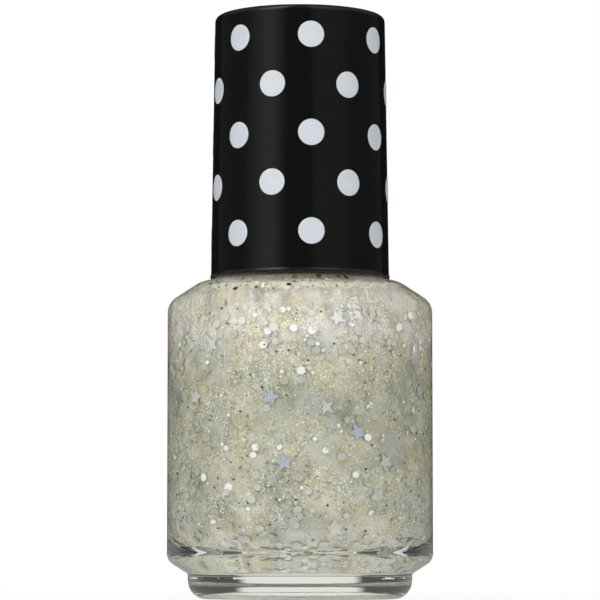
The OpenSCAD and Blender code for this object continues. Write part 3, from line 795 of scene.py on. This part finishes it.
# Printed dots.
# Pale ink printed on the overcap in five staggered rows of seven. The film is thin, with an edge
# that rounds off.
DOT_R, DOT_FIRST_H, DOT_PITCH, DOT_TURN, DOT_SIDES = 1.625, 5.15, 6.06, 7.3, 64
DOT_ROWS, DOTS_PER_ROW, INK_LIFT, INK_T = 5, 7, 0.01, 0.04
verts, faces = [], []
dot_rings = [(share, INK_LIFT + INK_T) for share in (0.25, 0.5, 0.75, 0.93)]
dot_rings += [(0.985, INK_LIFT + 0.75 * INK_T), (1.0, INK_LIFT + 0.3 * INK_T), (1.0, INK_LIFT)]
for row in range(DOT_ROWS):
    for column in range(DOTS_PER_ROW):
        middle = CAP_H + DOT_FIRST_H + row * DOT_PITCH
        facing = DOT_TURN + 360 * column / DOTS_PER_ROW + (row % 2) * 180 / DOTS_PER_ROW - 90
        first = len(verts)
        spots = [(0, 0, INK_LIFT + INK_T)] + [
            (DOT_R * share * math.cos(2 * math.pi * k / DOT_SIDES),
             DOT_R * share * math.sin(2 * math.pi * k / DOT_SIDES), lift)
            for share, lift in dot_rings for k in range(DOT_SIDES)]
        spots.append((0, 0, INK_LIFT))
        for across, up, lift in spots:
            r = cap_r(middle + up) + lift
            angle = math.radians(facing) + math.asin(across / r)
            verts.append((r * math.cos(angle), r * math.sin(angle), middle + up))
        for k in range(DOT_SIDES):
            j = (k + 1) % DOT_SIDES
            faces.append((first, first + 1 + k, first + 1 + j))
            for ring in range(len(dot_rings) - 1):
                low, high = first + 1 + ring * DOT_SIDES, first + 1 + (ring + 1) * DOT_SIDES
                faces.append((low + k, high + k, high + j, low + j))
            last = first + 1 + (len(dot_rings) - 1) * DOT_SIDES
            faces.append((last + k, len(verts) - 1, last + j))
printed_dots = new_piece("dots_printed", verts, faces)
dot_ink = new_material("dot_ink")
tree = dot_ink.node_tree
place = put(tree, "TexCoord")
mottle = put(tree, "TexNoise", {"Vector": place.outputs["Object"], "Scale": 900.0, "Detail": 4.0})
ink_tone = put(tree, "Mix", {
    0: mottle.outputs[0], 6: (0.60, 0.64, 0.68, 1), 7: (0.67, 0.71, 0.75, 1)}, data_type="RGBA")
put(tree, "OutputMaterial", {"Surface": put(tree, "BsdfPrincipled", {
    "Base Color": ink_tone.outputs[2], "Roughness": 0.38})})
printed_dots.data.materials.append(dot_ink)
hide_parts("dot_print")
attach(printed_dots, "cap")


# Studio.
# A pale floor, a white surround, soft lamps to the left, the right, behind and above, and a long
# lens set low in front. Lamps and lens are placed in metres.
FLOOR_R, FLOOR_SIDES, FADE_START_R, FADE_END_R = 400.0, 96, 20.0, 140.0
FLOOR_IN_GLOSS, FLOOR_MORE_IN_GLASS = 0.28, 0.52
AIM = (0, 0, 0.036)
CAMERA_PLACE, CAMERA_TILT, LENS, SENSOR = (0, -0.405, 0.0044), 4.63, 195.2, 36.0
floor_edge = [2 * math.pi * k / FLOOR_SIDES for k in range(FLOOR_SIDES)]
floor = new_piece("studio_floor", [
    (FLOOR_R * math.cos(angle), FLOOR_R * math.sin(angle), 0) for angle in floor_edge],
    [tuple(range(FLOOR_SIDES))])

# To the eye the floor is white, but in gloss and through glass it is darker. Near the bottle a
# little of it is matte, which takes a faint shadow.
pale_floor = new_material("pale_floor")
tree = pale_floor.node_tree
path = put(tree, "LightPath")
seen = put(tree, "Math", {
    0: path.outputs["Is Camera Ray"], 1: path.outputs["Is Glossy Ray"]}, operation="MAXIMUM")
seen = put(tree, "Math", {0: seen, 1: path.outputs["Is Transmission Ray"]}, operation="MAXIMUM")
place = put(tree, "TexCoord")
from_bottle = put(tree, "VectorMath", {0: place.outputs["Object"]}, operation="LENGTH")
fading = put(tree, "MapRange", {
    "Value": from_bottle.outputs["Value"], "From Min": FADE_START_R * MM,
    "From Max": FADE_END_R * MM, "To Min": 0.9})
share = put(tree, "Math", {0: seen, 1: fading}, operation="MULTIPLY")
bright = put(tree, "Math", {
    0: path.outputs["Is Transmission Ray"], 1: FLOOR_MORE_IN_GLASS, 2: FLOOR_IN_GLOSS},
    operation="MULTIPLY_ADD")
bright = put(tree, "Math", {0: bright, 1: path.outputs["Is Camera Ray"]}, operation="MAXIMUM")
matte = put(tree, "BsdfDiffuse", {"Color": (0.9, 0.9, 0.9, 1)})
white = put(tree, "Emission", {"Color": (1, 1, 1, 1), "Strength": bright})
put(tree, "OutputMaterial", {"Surface": put(tree, "MixShader", {0: share, 1: matte, 2: white})})
floor.data.materials.append(pale_floor)

surround = bpy.data.worlds.new("studio_surround")
bpy.context.scene.world = surround
surround.use_nodes = True
tree = surround.node_tree
tree.nodes.clear()
path = put(tree, "LightPath")
way = put(tree, "SeparateXYZ", {0: put(tree, "TexCoord").outputs["Generated"]})

# What gloss mirrors: brightness round the bottle by direction, 0 towards the camera, more aloft.
ahead = put(tree, "Math", {0: way.outputs["Y"], 1: -1.0}, operation="MULTIPLY")
facing = put(tree, "Math", {0: way.outputs["X"], 1: ahead}, operation="ARCTAN2")
facing = put(tree, "MapRange", {"Value": facing, "From Min": -math.pi, "From Max": math.pi})
levels = (
    (-180, 0.01), (-134, 0.01), (-131.5, 0.065), (-78, 0.06), (-42, 0.46), (-34, 0.40), (-18, 0.03),
    (14, 0.02), (20, 0.15), (52, 0.15), (76, 0.06), (131.5, 0.065), (134, 0.01))
shine = toned(tree, facing.outputs[0], [
    ((degrees + 180) / 360, (level, level, level)) for degrees, level in levels])
aloft = put(tree, "MapRange", {
    "Value": way.outputs["Z"], "From Min": 0.25, "From Max": 0.6, "To Min": 1.0, "To Max": 5.0})
shine = put(tree, "Mix", {
    0: 1.0, 6: shine, 7: aloft}, data_type="RGBA", blend_type="MULTIPLY").outputs[2]

# What shows through glass: bright ahead and behind, dark to the sides.
aside = put(tree, "Math", {
    0: put(tree, "Math", {0: way.outputs["X"]}, operation="ABSOLUTE"),
    1: put(tree, "Math", {0: way.outputs["Y"]}, operation="ABSOLUTE")}, operation="ARCTAN2")
aside = put(tree, "MapRange", {"Value": aside, "From Max": math.pi / 2})
beyond = toned(tree, aside.outputs[0], (
    (0, (0.80, 0.80, 0.76)), (19 / 90, (0.76, 0.76, 0.72)), (23 / 90, (0.062, 0.065, 0.068)),
    (72 / 90, (0.058, 0.062, 0.068)), (1.0, (0.22, 0.22, 0.22))))

colour = (0.27, 0.27, 0.27, 1)
for ray, shown in (
        ("Is Glossy Ray", shine), ("Is Transmission Ray", beyond), ("Is Camera Ray", (1, 1, 1, 1))):
    colour = put(tree, "Mix", {
        0: path.outputs[ray], 6: colour, 7: shown}, data_type="RGBA").outputs[2]
put(tree, "OutputWorld", {"Surface": put(tree, "Background", {"Color": colour, "Strength": 1.0})})


def softbox(name, place, width, height, watts):
    """A soft area lamp that faces the bottle. It shows neither in gloss nor through glass."""
    lamp = bpy.data.lights.new(name, "AREA")
    lamp.shape = "RECTANGLE"
    lamp.size, lamp.size_y, lamp.energy = width, height, watts
    held = bpy.data.objects.new(name, lamp)
    bpy.context.collection.objects.link(held)
    held.location = place
    held.rotation_euler = (Vector(AIM) - Vector(place)).to_track_quat("-Z", "Y").to_euler()
    held.visible_glossy = held.visible_transmission = held.visible_camera = False


softbox("softbox_left", (-0.34, -0.38, 0.16), 0.30, 0.40, 0.86)
softbox("softbox_right", (0.34, -0.38, 0.14), 0.30, 0.40, 0.82)
softbox("softbox_back", (0, 0.42, 0.32), 0.40, 0.40, 0.60)
softbox("softbox_top", (-0.08, -0.18, 0.40), 0.40, 0.30, 0.80)

camera = bpy.data.objects.new("camera", bpy.data.cameras.new("camera"))
bpy.context.collection.objects.link(camera)
camera.location = CAMERA_PLACE
camera.rotation_euler = (math.radians(90 + CAMERA_TILT), 0, 0)
camera.data.sensor_width = SENSOR
camera.data.lens = LENS
camera.data.clip_start = 0.01
bpy.context.scene.camera = camera
bpy.context.scene.view_settings.view_transform = "Standard"
